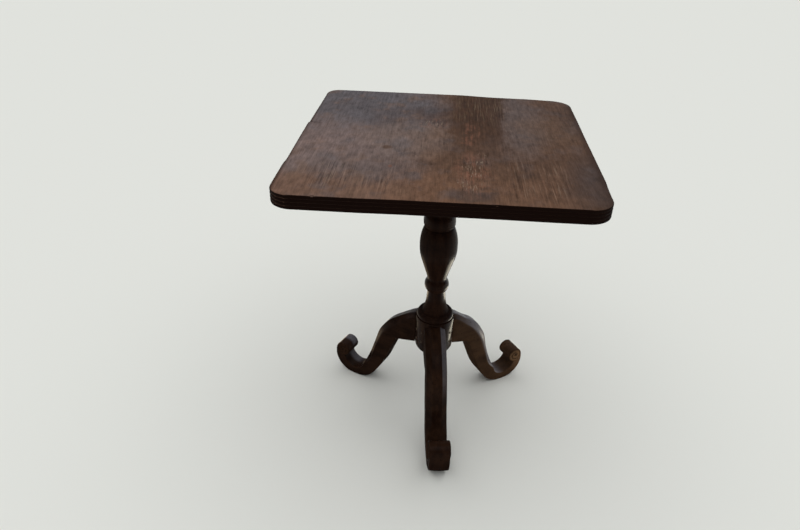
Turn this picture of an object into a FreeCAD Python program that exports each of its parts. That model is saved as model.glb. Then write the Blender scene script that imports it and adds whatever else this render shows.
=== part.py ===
import FreeCAD, Part
import math
import os
from FreeCAD import Placement, Rotation, Vector

# Tilt-top tripod table, millimetres. X runs to the right of the photo, Y away from it, Z up.
# The origin is on the floor below the column's axis.

doc = FreeCAD.newDocument("tilt_top_table")
sheet = doc.addObject("Spreadsheet::Sheet", "Sizes")

SIZES = {
    "table_height": 698,
    # top, three boards with the grain along Y
    "top_width": 578, "top_depth": 598, "top_thickness": 27,
    "corner_front_left": 38, "corner_front_right": 44,
    "corner_back_right": 48, "corner_back_left": 30,
    "edge_round": 1.6, "reed_groove": 1.5, "reed_count": 4,
    "board_left_width": 306, "board_middle_width": 107,
    "dowel_radius": 4, "dowel_length": 50, "dowel_pitch": 200,
    # bearers across the grain, on both sides of the block
    "bearer_length": 470, "bearer_width": 38, "bearer_depth": 40,
    "bearer_nose": 16, "bearer_taper": 66, "bearer_gap": 0.5,
    # block on the column's tenon, and the two pins the top tips on
    "block_length": 190, "block_width": 170, "block_thickness": 45,
    "pivot_drop": 22, "tilt_gap": 0.3, "pin_radius": 6, "pin_embed": 40,
    "pin_recess": 3, "pin_play": 0.06, "block_arris": 3,
    # screws
    "screw_radius": 2.2, "screw_head": 5, "screw_head_height": 3.2, "screw_length": 40,
    "screw_counterbore": 14, "screw_bore": 6.5, "screw_pitch": 105, "screw_first": -165,
    "small_screw_radius": 1.5, "small_screw_head": 3, "small_screw_head_height": 1.5,
    "small_screw_length": 13,
    # sliding catch
    "catch_length": 70, "catch_width": 40, "catch_plate_thickness": 3, "catch_offset": 6,
    "loop_length": 12, "loop_width": 26, "bolt_drop": 11.5, "loop_wall": 3,
    "bolt_width": 16, "bolt_thickness": 6, "bolt_play": 0.3, "bolt_reach": 4,
    "bolt_tail": 5, "bolt_travel": 10, "knob_stem": 2.5, "knob_radius": 6.5, "knob_height": 6,
    "knob_neck": 5, "knob_set": 44, "catch_screw_x": 32, "catch_screw_y": 30,
    "strike_width": 46, "strike_height": 18, "strike_thickness": 1.6, "strike_pocket": 12,
    "strike_screw_pitch": 34,
    # column, bottom to top: radii and the height of each stretch; those of the shaft, from the
    # neck cove to the barrel, are drawn out or in together to reach the table's height
    "hub_radius": 45, "hub_round": 33, "hub_drop": 30, "hub_drum": 70,
    "quirk_radius": 42.8, "quirk_height": 3, "bead_radius": 45.6, "bead_height": 29,
    "bead_top_radius": 36.5, "bead_step": 4,
    "neck_cove_sag": 4, "neck_cove_radius": 23.4, "neck_cove_height": 28,
    "neck_radius": 21.9, "neck_height": 20, "ring_radius": 29.3, "ring_height": 31,
    "waist_radius": 24.2, "waist_height": 7, "waist_sag": 0.7,
    "vase_rise": 41, "vase_rise_radius": 36.6, "vase_swell": 41, "vase_swell_bulge": 2.1,
    "vase_radius": 43.1, "vase_shoulder": 44, "vase_shoulder_bulge": 2.3, "vase_top_radius": 35,
    "groove_radius": 33.8, "groove_height": 6, "collar_radius": 35.8, "collar_height": 19,
    "collar_top_radius": 33.2, "upper_cove_radius": 29, "upper_cove_height": 18, "upper_cove_sag": 1.6,
    "barrel_radius": 26.5, "barrel_height": 76, "cap_radius": 33, "cap_height": 6,
    "cap_fillet": 4, "cap_fillet_sag": 1.2, "tenon_radius": 19, "tenon_short": 0.5,
    "wedge_thickness": 3.4, "wedge_tip": 1.2, "wedge_depth": 34, "wedge_width": 34,
    # legs, s is the distance from the column's axis; all three are cut to one pattern
    "leg_front_angle": 277.4, "leg_right_angle": 31.4, "leg_left_angle": 153.9,
    "leg_width": 45.5, "leg_reach": 270, "toe_radius": 54, "toe_turn_angle": 111.4,
    "roll_radius": 19, "roll_width": 48.5, "roll_step": 1, "eye_radius": 3.2, "eye_depth": 4,
    "sole_length": 9.8, "heel_radius": 61.7, "heel_turn_angle": 52.2,
    "calf_radius": 234, "calf_turn_angle": 17.1,
    "leg_root_bottom": 180, "root_corner_drop": 13, "leg_root_top": 252.5, "root_inset": 30,
    "cup_radius": 31.4, "cup_inset": 56, "sole_thickness": 20.6, "cup_cut": 0.6,
    "shin_lean_angle": 20.1, "knee_radius": 183, "knee_turn_angle": 20.7, "knee_end_angle": 9.5,
    "leg_chamfer": 12, "chamfer_stop_ratio": 0.55, "run_out_radius": 70, "run_out_turn_angle": 38,
    "leg_tenon_width": 16, "leg_tenon_height": 50, "leg_tenon_rise": 11, "leg_tenon_inner": 12,
    "leg_tenon_lap": 15, "tenon_play": 0.05,
    "peg_radius": 4, "peg_length": 70, "peg_axis": 27, "peg_rise": 12, "peg_pitch": 26,
    # how far a cutting tool runs past the wood
    "overcut": 1,
}
for row, (alias, number) in enumerate(SIZES.items(), start=1):
    sheet.set("A%d" % row, alias)
    sheet.set("B%d" % row, str(number))
    sheet.setAlias("B%d" % row, alias)
doc.recompute()


def size(alias):
    return float(sheet.get(alias))


def bind(thing, prop, rule):
    # names in a rule are the sheet's own; each gets the sheet's name in front
    words = []
    for word in rule.replace("(", " ( ").replace(")", " ) ").split():
        words.append("Sizes." + word if word in SIZES else word)
    thing.setExpression(prop, " ".join(words))


def place(thing, x="0", y="0", z="0"):
    for letter, rule in (("x", x), ("y", y), ("z", z)):
        bind(thing, "Placement.Base." + letter, rule)


def box(name, length, width, height, x="0", y="0", z="0"):
    thing = doc.addObject("Part::Box", name)
    bind(thing, "Length", length)
    bind(thing, "Width", width)
    bind(thing, "Height", height)
    place(thing, x, y, z)
    return thing


TURNS = {"X": Rotation(Vector(0, 1, 0), 90), "Y": Rotation(Vector(1, 0, 0), -90), "Z": Rotation()}


def rod(name, radius, length, along, x="0", y="0", z="0"):
    thing = doc.addObject("Part::Cylinder", name)
    bind(thing, "Radius", radius)
    bind(thing, "Height", length)
    thing.Placement = Placement(Vector(), TURNS[along])
    place(thing, x, y, z)
    return thing


def cut(name, base, tool):
    thing = doc.addObject("Part::Cut", name)
    thing.Base = base
    thing.Tool = tool
    return thing


def fuse(name, things):
    thing = doc.addObject("Part::MultiFuse", name)
    thing.Shapes = things
    return thing


def common(name, base, tool):
    thing = doc.addObject("Part::Common", name)
    thing.Base = base
    thing.Tool = tool
    return thing


def group(name, things):
    thing = doc.addObject("Part::Compound", name)
    thing.Links = things
    return thing


def outline(body, name, role, path):
    # path: pairs of points for lines, triples (start, middle, end) for arcs
    sketch = body.newObject("Sketcher::SketchObject", name)
    plane = [f for f in body.Origin.OriginFeatures if f.Role == role][0]
    sketch.AttachmentSupport = (plane, [""])
    sketch.MapMode = "FlatFace"
    shapes = []
    for step in path:
        points = [Vector(p[0], p[1], 0) for p in step]
        if len(points) == 2:
            shapes.append(Part.LineSegment(*points))
        else:
            shapes.append(Part.Arc(*points))
    sketch.addGeometry(shapes, False)
    return sketch


def padded(body, name, sketch, length, symmetric=False):
    pad = body.newObject("PartDesign::Pad", name)
    pad.Profile = sketch
    if symmetric:
        pad.SideType = "Symmetric"
    bind(pad, "Length", length)
    return pad


def polar(centre, radius, degrees):
    angle = math.radians(degrees)
    return (centre[0] + radius * math.cos(angle), centre[1] + radius * math.sin(angle))


def arc(centre, radius, start, end):
    return tuple(polar(centre, radius, a) for a in (start, (start + end) / 2, end))


def lines(*points):
    return [(a, b) for a, b in zip(points, points[1:])]


# Column: one turned piece with the tenon for the block on top
UNDERSIDE = "table_height - top_thickness"
BLOCK_LOW = UNDERSIDE + " - block_thickness"
SHAFT = ("neck_cove_height", "neck_height", "ring_height", "waist_height", "vase_rise", "vase_swell",
         "vase_shoulder", "groove_height", "collar_height", "upper_cove_height", "barrel_height")
block_top = size("table_height") - size("top_thickness")
block_bottom = block_top - size("block_thickness")
hub_bottom = size("leg_root_bottom") - size("hub_drop")
level = hub_bottom + size("hub_round")
levels = {"hub": level}
for stretch in ("hub_drum", "quirk_height", "bead_height"):
    level += size(stretch)
    levels[stretch] = level
shaft_room = block_bottom - size("cap_height") - size("cap_fillet") - level
drawn = shaft_room / sum(size(stretch) for stretch in SHAFT)
for stretch in SHAFT:
    level += size(stretch) * drawn
    levels[stretch] = level
levels["cap_fillet"] = level + size("cap_fillet")


def bowed(a, b, push):
    # middle point of an arc from a to b, pushed off the chord to its right
    length = math.hypot(b[0] - a[0], b[1] - a[1])
    return ((a[0] + b[0]) / 2 + (b[1] - a[1]) / length * push,
            (a[1] + b[1]) / 2 - (b[0] - a[0]) / length * push)


def turned_profile():
    hub = size("hub_radius")
    foot = hub - size("hub_round")
    z = levels
    p_hub = (hub, z["hub"])
    p_drum = (hub, z["hub_drum"])
    p_quirk_low = (size("quirk_radius"), z["hub_drum"])
    p_quirk = (size("quirk_radius"), z["quirk_height"])
    p_bead = (size("bead_top_radius"), z["bead_height"])
    p_bead_mid = (size("bead_radius"), (p_quirk[1] + p_bead[1]) / 2)
    p_step = (size("bead_top_radius") - size("bead_step"), z["bead_height"])
    p_cove = (size("neck_cove_radius"), z["neck_cove_height"])
    p_neck = (size("neck_radius"), z["neck_height"])
    p_ring = (size("waist_radius"), z["ring_height"])
    p_ring_mid = (size("ring_radius"), (p_neck[1] + p_ring[1]) / 2)
    p_waist = (size("waist_radius"), z["waist_height"])
    p_rise = (size("vase_rise_radius"), z["vase_rise"])
    p_vase = (size("vase_radius"), z["vase_swell"])
    p_shoulder = (size("vase_top_radius"), z["vase_shoulder"])
    p_groove_low = (size("groove_radius"), z["vase_shoulder"])
    p_groove = (size("groove_radius"), z["groove_height"])
    p_collar = (size("collar_top_radius"), z["collar_height"])
    p_collar_mid = (size("collar_radius"), (p_groove[1] + p_collar[1]) / 2)
    p_upper = (size("upper_cove_radius"), z["upper_cove_height"])
    p_barrel = (size("barrel_radius"), z["barrel_height"])
    p_fillet = (size("cap_radius"), z["cap_fillet"])
    p_cap = (size("cap_radius"), block_bottom)
    p_tenon = (size("tenon_radius"), block_bottom)
    p_end = (size("tenon_radius"), block_top - size("tenon_short"))
    path = [((0, hub_bottom), (foot, hub_bottom))]
    path.append(arc((foot, z["hub"]), size("hub_round"), -90, 0))
    path += lines(p_hub, p_drum, p_quirk_low, p_quirk)
    path.append((p_quirk, p_bead_mid, p_bead))
    path += lines(p_bead, p_step)
    path.append((p_step, bowed(p_step, p_cove, -size("neck_cove_sag")), p_cove))
    path += lines(p_cove, p_neck)
    path.append((p_neck, p_ring_mid, p_ring))
    path.append((p_ring, bowed(p_ring, p_waist, -size("waist_sag")), p_waist))
    path += lines(p_waist, p_rise)
    path.append((p_rise, bowed(p_rise, p_vase, size("vase_swell_bulge")), p_vase))
    path.append((p_vase, bowed(p_vase, p_shoulder, size("vase_shoulder_bulge")), p_shoulder))
    path += lines(p_shoulder, p_groove_low, p_groove)
    path.append((p_groove, p_collar_mid, p_collar))
    path.append((p_collar, bowed(p_collar, p_upper, -size("upper_cove_sag")), p_upper))
    path += lines(p_upper, p_barrel)
    path.append((p_barrel, bowed(p_barrel, p_fillet, -size("cap_fillet_sag")), p_fillet))
    path += lines(p_fillet, p_cap, p_tenon, p_end, (0, p_end[1]), (0, hub_bottom))
    return path


turning = doc.addObject("PartDesign::Body", "turning")
turned = outline(turning, "turned_outline", "XZ_Plane", turned_profile())
revolve = turning.newObject("PartDesign::Revolution", "turned")
revolve.Profile = turned
revolve.ReferenceAxis = (turned, ["V_Axis"])
revolve.Angle = 360
doc.recompute()


# Leg: outline in the plane of the leg, s outward and z up, then chamfers, roll, tenon and cope
def heading_step(radius, start, end):
    a, b = math.radians(start), math.radians(end)
    sign = 1 if end > start else -1
    return (sign * radius * (math.sin(b) - math.sin(a)), sign * radius * (math.cos(a) - math.cos(b)))


def turn_arc(start, radius, heading, end):
    middle = (heading + end) / 2
    first = heading_step(radius, heading, middle)
    whole = heading_step(radius, heading, end)
    return (start, (start[0] + first[0], start[1] + first[1]),
            (start[0] + whole[0], start[1] + whole[1]))


def leg_profile():
    toe = size("toe_radius")
    toe_centre = (size("leg_reach") - toe, toe)
    sole_out = (toe_centre[0], 0)
    sole_in = (toe_centre[0] - size("sole_length"), 0)
    inner = size("root_inset")
    # underneath, from the sole up to the root
    heel = turn_arc(sole_in, size("heel_radius"), 180, 180 - size("heel_turn_angle"))
    calf_end = 180 - size("heel_turn_angle") - size("calf_turn_angle")
    calf = turn_arc(heel[2], size("calf_radius"), 180 - size("heel_turn_angle"), calf_end)
    corner_z = size("leg_root_bottom") - size("root_corner_drop")
    rise = corner_z - calf[2][1]
    corner = (calf[2][0] + rise / math.tan(math.radians(calf_end)), corner_z)
    root_low = (inner, size("leg_root_bottom"))
    # toe and roll
    toe_end = size("toe_turn_angle") - 90
    roll = size("roll_radius")
    roll_centre = polar(toe_centre, toe - roll, toe_end)
    cup = size("cup_radius")
    cup_centre = (size("leg_reach") - size("cup_inset"), size("sole_thickness") + cup)
    across = (roll_centre[0] - cup_centre[0], roll_centre[1] - cup_centre[1])
    apart = math.hypot(*across)
    along = (cup ** 2 - roll ** 2 + apart ** 2) / (2 * apart)
    off = math.sqrt(cup ** 2 - along ** 2)
    unit = (across[0] / apart, across[1] / apart)
    notch = (cup_centre[0] + unit[0] * along + unit[1] * off,
             cup_centre[1] + unit[1] * along - unit[0] * off)
    notch_on_roll = math.degrees(math.atan2(notch[1] - roll_centre[1], notch[0] - roll_centre[0]))
    notch_on_cup = math.degrees(math.atan2(notch[1] - cup_centre[1], notch[0] - cup_centre[0]))
    # shin line meets the cup just inside its side, so the chamfer ends there
    lean = size("shin_lean_angle")
    foot_angle = 180 + lean + math.degrees(math.acos(1 - size("cup_cut") / cup))
    shin_foot = polar(cup_centre, cup, foot_angle)
    up = (-math.sin(math.radians(lean)), math.cos(math.radians(lean)))
    # two knee arcs: the lower has a given radius, the upper one is what reaches the root
    first = heading_step(size("knee_radius"), 90 + lean, 90 + lean + size("knee_turn_angle"))
    knee_heading = 90 + lean + size("knee_turn_angle")
    end_heading = 180 - size("knee_end_angle")
    second = heading_step(1, knee_heading, end_heading)
    want = (inner - shin_foot[0] - first[0], size("leg_root_top") - shin_foot[1] - first[1])
    det = up[0] * second[1] - up[1] * second[0]
    length = (want[0] * second[1] - want[1] * second[0]) / det
    upper_radius = (up[0] * want[1] - up[1] * want[0]) / det
    shin_top = (shin_foot[0] + up[0] * length, shin_foot[1] + up[1] * length)
    knee_low = turn_arc(shin_top, size("knee_radius"), 90 + lean, knee_heading)
    knee_high = turn_arc(knee_low[2], upper_radius, knee_heading, end_heading)
    path = [(sole_out, sole_in), heel, calf, (calf[2], corner), (corner, root_low),
            (root_low, knee_high[2]), tuple(reversed(knee_high)), tuple(reversed(knee_low)),
            (shin_top, shin_foot), arc(cup_centre, cup, foot_angle, 360 + notch_on_cup),
            arc(roll_centre, roll, 360 + notch_on_roll, toe_end), arc(toe_centre, toe, toe_end, -90)]
    return path, roll_centre, (shin_foot, shin_top)


profile, roll_centre, shin = leg_profile()
leg_body = doc.addObject("PartDesign::Body", "leg_blank")
leg_sketch = outline(leg_body, "leg_outline", "XZ_Plane", profile)
leg_pad = padded(leg_body, "leg_sawn", leg_sketch, "leg_width", True)
doc.recompute()


def arris_cutter(side):
    # three-sided bar swept down the knee and shin, turning outward at its end to run the chamfer out
    lean = size("shin_lean_angle")
    stop = tuple(shin[1][i] + (shin[0][i] - shin[1][i]) * size("chamfer_stop_ratio") for i in (0, 1))
    run_out = turn_arc(stop, size("run_out_radius"), lean - 90, lean - 90 + size("run_out_turn_angle"))
    path = [profile[6], profile[7], (shin[1], stop), run_out]
    y = side * size("leg_width") / 2
    edges = []
    for step in path:
        points = [Vector(p[0], y, p[1]) for p in step]
        curve = Part.LineSegment(*points) if len(points) == 2 else Part.Arc(*points)
        edges.append(curve.toShape())
    tangent = edges[0].Curve.tangent(edges[0].Curve.parameter(Vector(path[0][0][0], y, path[0][0][1])))[0]
    out = Vector(-tangent.z, 0, tangent.x)
    if out.z < 0:
        out = out * -1
    start = Vector(path[0][0][0], y, path[0][0][1])
    width = size("leg_chamfer")
    spare = width / 2
    across = Vector(0, side, 0)
    corners = [start + out * spare - across * (width + spare), start + out * spare + across * spare,
               start - out * (width + spare) + across * spare]
    section = Part.makePolygon(corners + corners[:1])
    return Part.Wire(edges).makePipeShell([section], True, True)


arris_cuts = doc.addObject("Part::Feature", "arris_cuts")
arris_cuts.Shape = Part.makeCompound([arris_cutter(-1), arris_cutter(1)])
leg_arrised = cut("leg_arrised", leg_body, arris_cuts)
doc.recompute()
if leg_arrised.Shape.Volume >= leg_pad.Shape.Volume:
    raise RuntimeError("the leg's chamfers cut nothing")

roll_boss = doc.addObject("Part::Cylinder", "roll_boss")
bind(roll_boss, "Radius", "roll_radius - roll_step")
bind(roll_boss, "Height", "roll_width")
roll_boss.Placement = Placement(Vector(roll_centre[0], -size("roll_width") / 2, roll_centre[1]),
                                TURNS["Y"])
eyes = []
for side in (-1, 1):
    eye = doc.addObject("Part::Cylinder", "eye_hole")
    bind(eye, "Radius", "eye_radius")
    bind(eye, "Height", "2 * eye_depth")
    face = side * size("roll_width") / 2 - size("eye_depth")
    eye.Placement = Placement(Vector(roll_centre[0], face, roll_centre[1]), TURNS["Y"])
    eyes.append(eye)
leg_tenon = box("leg_tenon", "hub_radius + leg_tenon_lap - leg_tenon_inner", "leg_tenon_width",
                "leg_tenon_height", "leg_tenon_inner", "leg_tenon_width * -0.5",
                "leg_root_bottom + leg_tenon_rise")
coped = cut("leg_coped", leg_arrised, turning)
jointed = fuse("leg_jointed", [coped, roll_boss, leg_tenon])
eyed = cut("leg_eyed", jointed, group("eye_holes", eyes))
peg_holes = []
pegs = []
for rise in ("peg_rise", "peg_rise + peg_pitch"):
    height = "leg_root_bottom + leg_tenon_rise + " + rise
    pegs.append(rod("peg", "peg_radius", "peg_length", "Y", "peg_axis", "peg_length * -0.5", height))
    peg_holes.append(rod("peg_hole", "peg_radius", "hub_radius * 2.4", "Y", "peg_axis",
                         "hub_radius * -1.2", height))
peg_pair = group("peg_pair", pegs)
hole_pair = group("peg_hole_pair", peg_holes)
tenon_room = box("tenon_room", "hub_radius + leg_tenon_lap - leg_tenon_inner + tenon_play",
                 "leg_tenon_width + 2 * tenon_play", "leg_tenon_height + 2 * tenon_play",
                 "leg_tenon_inner - tenon_play", "leg_tenon_width * -0.5 - tenon_play",
                 "leg_root_bottom + leg_tenon_rise - tenon_play")
leg_master = cut("leg_master", eyed, hole_pair)
doc.recompute()

legs = []
rooms = []
peg_sets = []
for name in ("front", "right", "left"):
    angle = "leg_%s_angle" % name
    for prefix, source, keep in (("leg", leg_master, legs), ("room", tenon_room, rooms),
                                 ("holes", hole_pair, rooms), ("pegs", peg_pair, peg_sets)):
        turned_copy = group(prefix + "_" + name, [source])
        turned_copy.Placement = Placement(Vector(), Rotation(Vector(0, 0, 1), size(angle)))
        bind(turned_copy, "Placement.Rotation.Angle", angle)
        keep.append(turned_copy)
leg_pegs = group("leg_pegs", peg_sets)

wedge = doc.addObject("Part::Wedge", "tenon_wedge")
for prop, rule in (("Xmin", "wedge_width * -0.5"), ("Xmax", "wedge_width * 0.5"),
                   ("X2min", "wedge_width * -0.5"), ("X2max", "wedge_width * 0.5"),
                   ("Zmin", "wedge_tip * -0.5"), ("Zmax", "wedge_tip * 0.5"),
                   ("Z2min", "wedge_thickness * -0.5"), ("Z2max", "wedge_thickness * 0.5"),
                   ("Ymin", "wedge_depth * -1"), ("Ymax", "0")):
    bind(wedge, prop, rule)
wedge.Placement = Placement(Vector(), Rotation(Vector(1, 0, 0), 90))
place(wedge, z=UNDERSIDE + " - tenon_short")
column_cuts = fuse("column_cuts", rooms + [wedge])
column = cut("column", turning, column_cuts)
doc.recompute()


# Block with its hinge edge rounded about the pins
def block_profile():
    right = size("block_length") / 2
    radius = size("pivot_drop")
    arris = size("block_arris")
    low = block_bottom
    path = lines((-right + arris, low), (right - arris, low), (right, low + arris),
                 (right, block_top - radius))
    path.append(arc((right - radius, block_top - radius), radius, 0, 90))
    path += lines((right - radius, block_top), (-right, block_top), (-right, low + arris),
                  (-right + arris, low))
    return path


block_body = doc.addObject("PartDesign::Body", "block_blank")
padded(block_body, "block_sawn", outline(block_body, "block_outline", "XZ_Plane", block_profile()),
       "block_width", True)
PIVOT_X = "block_length * 0.5 - pivot_drop + tilt_gap"
PIVOT_Z = UNDERSIDE + " - pivot_drop"
BOLT_Z = UNDERSIDE + " - bolt_drop"
BLOCK_LEFT = "block_length * -0.5"
pin_length = "pin_embed + bearer_gap + bearer_width - pin_recess"
pivot_pin_front = rod("pivot_pin_front", "pin_radius", pin_length, "Y", PIVOT_X,
                      "block_width * -0.5 - bearer_gap - bearer_width + pin_recess", PIVOT_Z)
pivot_pin_back = rod("pivot_pin_back", "pin_radius", pin_length, "Y", PIVOT_X,
                     "block_width * 0.5 - pin_embed", PIVOT_Z)

# Catch: strike plate let into the block, plate with two loops under the top, bolt and knob
strike_blank = box("strike_blank", "strike_thickness", "strike_width", "strike_height",
                   BLOCK_LEFT, "strike_width * -0.5", BOLT_Z + " - strike_height * 0.5")
strike_room = box("strike_room", "strike_thickness + strike_pocket",
                  "bolt_width + 4 * bolt_play", "bolt_thickness + 4 * bolt_play", BLOCK_LEFT,
                  "bolt_width * -0.5 - 2 * bolt_play", BOLT_Z + " - bolt_thickness * 0.5 - 2 * bolt_play")


def screw(name, radius, head, head_height, length):
    # head end at the origin, shank up along Z
    cone = doc.addObject("Part::Cone", name + "_head")
    bind(cone, "Radius1", head)
    bind(cone, "Radius2", radius)
    bind(cone, "Height", head_height)
    shank = rod(name + "_shank", radius, length, "Z")
    return fuse(name, [cone, shank])


big_screw = screw("big_screw", "screw_radius", "screw_head", "screw_head_height", "screw_length")
small_screw = screw("small_screw", "small_screw_radius", "small_screw_head",
                    "small_screw_head_height", "small_screw_length")
doc.recompute()


def scatter(name, source, spots, turn=Rotation()):
    thing = doc.addObject("Part::Feature", name)
    copies = []
    for spot in spots:
        copy = source.Shape.copy()
        copy.Placement = Placement(Vector(*spot), turn)
        copies.append(copy)
    thing.Shape = Part.makeCompound(copies)
    return thing


bolt_z = block_top - size("bolt_drop")
block_left = -size("block_length") / 2
strike_half = size("strike_screw_pitch") / 2
strike_screws = scatter("strike_screws", small_screw,
                        [(block_left, y, bolt_z) for y in (-strike_half, strike_half)], TURNS["X"])
strike_plate = cut("strike_plate", strike_blank, group("strike_cuts", [strike_room, strike_screws]))
tenon_hole = rod("tenon_hole", "tenon_radius + tenon_play", "block_thickness", "Z", z=BLOCK_LOW)
block_cuts = fuse("block_cuts", [tenon_hole, pivot_pin_front, pivot_pin_back, strike_blank,
                                 strike_room, strike_screws])
pillar_block = cut("pillar_block", block_body, block_cuts)

CATCH_RIGHT = BLOCK_LEFT + " - catch_offset"
catch_base = box("catch_base", "catch_length", "catch_width", "catch_plate_thickness",
                 CATCH_RIGHT + " - catch_length", "catch_width * -0.5",
                 UNDERSIDE + " - catch_plate_thickness")
loop_drop = "bolt_drop + bolt_thickness * 0.5 + bolt_play + loop_wall"
loops = []
for tag, x in (("near", CATCH_RIGHT + " - loop_length"), ("far", CATCH_RIGHT + " - catch_length")):
    loops.append(box("loop_" + tag, "loop_length", "loop_width", loop_drop, x, "loop_width * -0.5",
                     UNDERSIDE + " - ( " + loop_drop + " )"))
bolt_path = box("bolt_path", "catch_length", "bolt_width + 2 * bolt_play",
                "bolt_thickness + 2 * bolt_play", CATCH_RIGHT + " - catch_length",
                "bolt_width * -0.5 - bolt_play", BOLT_Z + " - bolt_thickness * 0.5 - bolt_play")
screw_x = block_left - size("catch_offset") - size("catch_length") / 2
catch_spots = []
for dx in (-0.5, 0.5):
    for dy in (-0.5, 0.5):
        catch_spots.append((screw_x + dx * size("catch_screw_x"), dy * size("catch_screw_y"),
                            block_top - size("catch_plate_thickness")))
catch_screws = scatter("catch_screws", small_screw, catch_spots)
catch_plate = cut("catch_plate", fuse("catch_cast", [catch_base] + loops),
                  group("catch_cuts", [bolt_path, catch_screws]))
bolt_blank = box("bolt_blank", "bolt_reach - bolt_play + catch_length + bolt_tail", "bolt_width",
                 "bolt_thickness", CATCH_RIGHT + " - catch_length - bolt_tail",
                 "bolt_width * -0.5", BOLT_Z + " - bolt_thickness * 0.5")
knob_x = CATCH_RIGHT + " - knob_set"
knob_stem = rod("knob_rivet", "knob_stem", "bolt_thickness + knob_neck", "Z", knob_x, "0",
                BOLT_Z + " - bolt_thickness * 0.5 - knob_neck")
knob_button = rod("knob_button", "knob_radius", "knob_height", "Z", knob_x, "0",
                  BOLT_Z + " - bolt_thickness * 0.5 - knob_neck - knob_height")
catch_knob = fuse("catch_knob", [knob_stem, knob_button])
catch_bolt = cut("catch_bolt", bolt_blank, knob_stem)
doc.recompute()


# Top: one reeded slab, ripped into three boards that are dowelled edge to edge
def top_profile():
    x = size("top_width") / 2
    y = size("top_depth") / 2
    fl, fr = size("corner_front_left"), size("corner_front_right")
    br, bl = size("corner_back_right"), size("corner_back_left")
    return [((-x + fl, -y), (x - fr, -y)), arc((x - fr, -y + fr), fr, -90, 0),
            ((x, -y + fr), (x, y - br)), arc((x - br, y - br), br, 0, 90),
            ((x - br, y), (-x + bl, y)), arc((-x + bl, y - bl), bl, 90, 180),
            ((-x, y - bl), (-x, -y + fl)), arc((-x + fl, -y + fl), fl, 180, 270)]


slab_body = doc.addObject("PartDesign::Body", "slab")
slab_pad = padded(slab_body, "slab_sawn", outline(slab_body, "slab_outline", "XY_Plane", top_profile()),
                  "top_thickness")
doc.recompute()
rims = []
for number, edge in enumerate(slab_pad.Shape.Edges, start=1):
    if edge.BoundBox.ZLength < 0.01:
        rims.append("Edge%d" % number)
rim = slab_body.newObject("PartDesign::Fillet", "slab_arris")
rim.Base = (slab_pad, rims)
bind(rim, "Radius", "edge_round")
place(slab_body, z=UNDERSIDE)
doc.recompute()

reeds = doc.addObject("Part::Feature", "reed_grooves")
grooves = []
for index in range(1, int(size("reed_count"))):
    z = block_top + size("top_thickness") * index / size("reed_count")
    edges = []
    for step in top_profile():
        points = [Vector(p[0], p[1], z) for p in step]
        curve = Part.LineSegment(*points) if len(points) == 2 else Part.Arc(*points)
        edges.append(curve.toShape())
    wire = Part.Wire(edges)
    start = edges[0].Vertexes[0].Point
    ring = Part.Wire([Part.Circle(start, Vector(1, 0, 0), size("reed_groove")).toShape()])
    grooves.append(wire.makePipeShell([ring], True, False))
reeds.Shape = Part.makeCompound(grooves)
reeded = cut("top_reeded", slab_body, reeds)

seams = ["top_width * -0.5 + board_left_width",
         "top_width * -0.5 + board_left_width + board_middle_width"]
dowels = []
for tag, seam in zip(("left", "right"), seams):
    for rule in ("dowel_pitch * -1", "0", "dowel_pitch"):
        dowels.append(rod("dowel_" + tag, "dowel_radius", "dowel_length", "X",
                          seam + " - dowel_length * 0.5", rule, UNDERSIDE + " + top_thickness * 0.5"))
board_dowels = group("board_dowels", dowels)

screw_y = size("block_width") / 2 + size("bearer_gap") + size("bearer_width") / 2
screw_z = block_top - size("bearer_depth") + size("screw_counterbore")
rows = {}
for tag, y in (("front", -screw_y), ("back", screw_y)):
    spots = []
    for index in range(4):
        spots.append((size("screw_first") + index * size("screw_pitch"), y, screw_z))
    rows[tag] = spots
bearer_screws = scatter("bearer_screws", big_screw, rows["front"] + rows["back"])
top_cuts = group("top_cuts", [board_dowels, bearer_screws, catch_screws])
boards = []
left = "top_width * -0.5 - overcut"
for tag, start, width in (("left", left, "board_left_width + overcut"),
                          ("middle", seams[0], "board_middle_width"),
                          ("right", seams[1],
                           "top_width - board_left_width - board_middle_width + overcut")):
    saw = box("saw_" + tag, width, "top_depth + 2 * overcut", "top_thickness + 2 * overcut", start,
              "top_depth * -0.5 - overcut", UNDERSIDE + " - overcut")
    boards.append(cut("top_board_" + tag, common("ripped_" + tag, reeded, saw), top_cuts))


# Bearers, noses tapered at both ends
def bearer_profile():
    x = size("bearer_length") / 2
    top = block_top
    low = top - size("bearer_depth")
    nose = top - size("bearer_nose")
    taper = size("bearer_taper")
    return lines((-x, top), (-x, nose), (-x + taper, low), (x - taper, low), (x, nose), (x, top),
                 (-x, top))


counterbore = rod("counterbore", "screw_bore", "screw_counterbore + overcut", "Z")
doc.recompute()
pin_room = "pin_radius + pin_play"
bearers = []
for tag, y in (("front", "block_width * -0.5 - bearer_gap - bearer_width * 0.5"),
               ("back", "block_width * 0.5 + bearer_gap + bearer_width * 0.5")):
    body = doc.addObject("PartDesign::Body", "bearer_blank_" + tag)
    sketch = outline(body, "bearer_outline_" + tag, "XZ_Plane", bearer_profile())
    padded(body, "bearer_sawn_" + tag, sketch, "bearer_width", True)
    place(body, y=y)
    hole = rod("pin_hole_" + tag, pin_room, "bearer_width + 2 * overcut", "Y", PIVOT_X,
               y + " - bearer_width * 0.5 - overcut", PIVOT_Z)
    bores = scatter("bores_" + tag, counterbore,
                    [(x, y0, z - size("screw_counterbore") - size("overcut")) for x, y0, z in rows[tag]])
    screws = scatter("shanks_" + tag, big_screw, rows[tag])
    bearers.append(cut("bearer_" + tag, body, fuse("bearer_cuts_" + tag, [hole, bores, screws])))
doc.recompute()

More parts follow.
